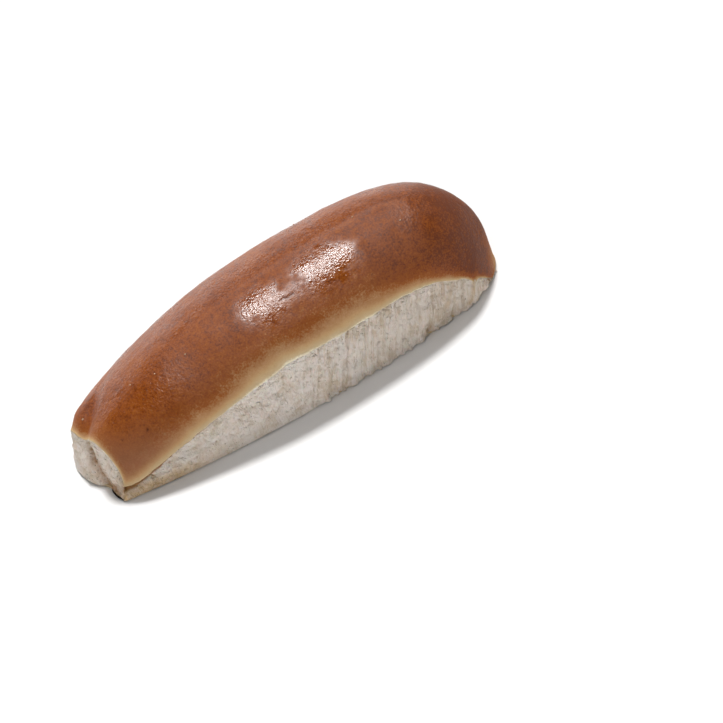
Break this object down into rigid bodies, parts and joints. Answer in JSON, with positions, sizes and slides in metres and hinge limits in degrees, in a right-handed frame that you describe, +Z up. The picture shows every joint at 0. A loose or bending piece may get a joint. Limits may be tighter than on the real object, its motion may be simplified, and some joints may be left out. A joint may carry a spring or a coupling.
{
  "type": "hot dog bun",
  "caption": "Long soft bread roll with a glossy brown crust, torn pale crumb along both sides and one end, and a flat base.",
  "frame": {"origin": "on the table plane, under the middle of the bun's bounding box", "axes": "+X along the bun from the torn end to the rounded end, +Z up, and the torn side that the picture shows faces -Y"},
  "size_m": [0.1528, 0.0466, 0.0444],
  "materials": {
    "crust": "browned bread crust with a thin egg-wash gloss, finely wrinkled",
    "crumb": "torn soft white bread crumb, matt and fibrous",
    "base_crust": "thin golden bottom crust, matt"
  },
  "bodies": {
    "root": {"hot_dog_bun": "crust"}
  },
  "joints": []
}
